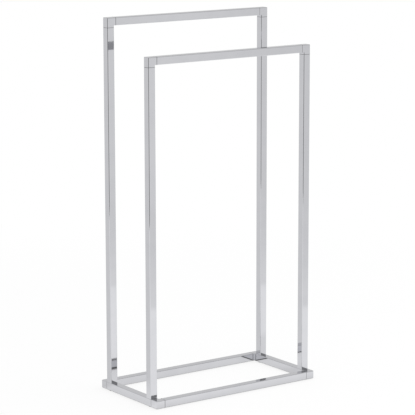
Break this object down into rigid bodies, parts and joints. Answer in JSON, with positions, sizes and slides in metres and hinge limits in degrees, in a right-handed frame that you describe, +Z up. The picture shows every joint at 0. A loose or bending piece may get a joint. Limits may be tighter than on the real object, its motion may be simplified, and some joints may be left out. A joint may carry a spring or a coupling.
{
  "type": "freestanding towel stand",
  "caption": "Freestanding bathroom towel stand: two upright chrome frames of square tube, one taller, on an oblong open base.",
  "frame": {"origin": "centre of the stand's overall box, on the floor under the foot pads", "axes": "+X across the stand to the right as seen from the front, +Y from the front frame to the taller rear frame, +Z up"},
  "size_m": [0.45, 0.229, 0.865],
  "materials": {
    "chrome_tube": "polished chrome plate on steel tube",
    "chrome_casting": "polished chrome plate on die-cast zinc",
    "plain_steel": "plain cast and tapped metal",
    "plated_screw": "bright zinc plate",
    "pad_rubber": "milky white soft rubber"
  },
  "bodies": {
    "root": {"front_top_rail": "chrome_tube", "base_front_rail": "chrome_tube", "front_post_left": "chrome_tube", "front_elbow_left": "chrome_casting", "base_corner_front_left": "chrome_casting", "foot_insert_front_left": "plain_steel", "foot_pad_front_left": "pad_rubber", "front_post_right": "chrome_tube", "front_elbow_right": "chrome_casting", "base_corner_front_right": "chrome_casting", "foot_insert_front_right": "plain_steel", "foot_pad_front_right": "pad_rubber", "rear_top_rail": "chrome_tube", "base_rear_rail": "chrome_tube", "rear_post_left": "chrome_tube", "rear_elbow_left": "chrome_casting", "base_corner_rear_left": "chrome_casting", "foot_insert_rear_left": "plain_steel", "foot_pad_rear_left": "pad_rubber", "rear_post_right": "chrome_tube", "rear_elbow_right": "chrome_casting", "base_corner_rear_right": "chrome_casting", "foot_insert_rear_right": "plain_steel", "foot_pad_rear_right": "pad_rubber", "base_side_rail_left": "chrome_tube", "base_side_rail_right": "chrome_tube", "post_screws": "plated_screw", "screw_washers": "plated_screw"}
  },
  "joints": []
}
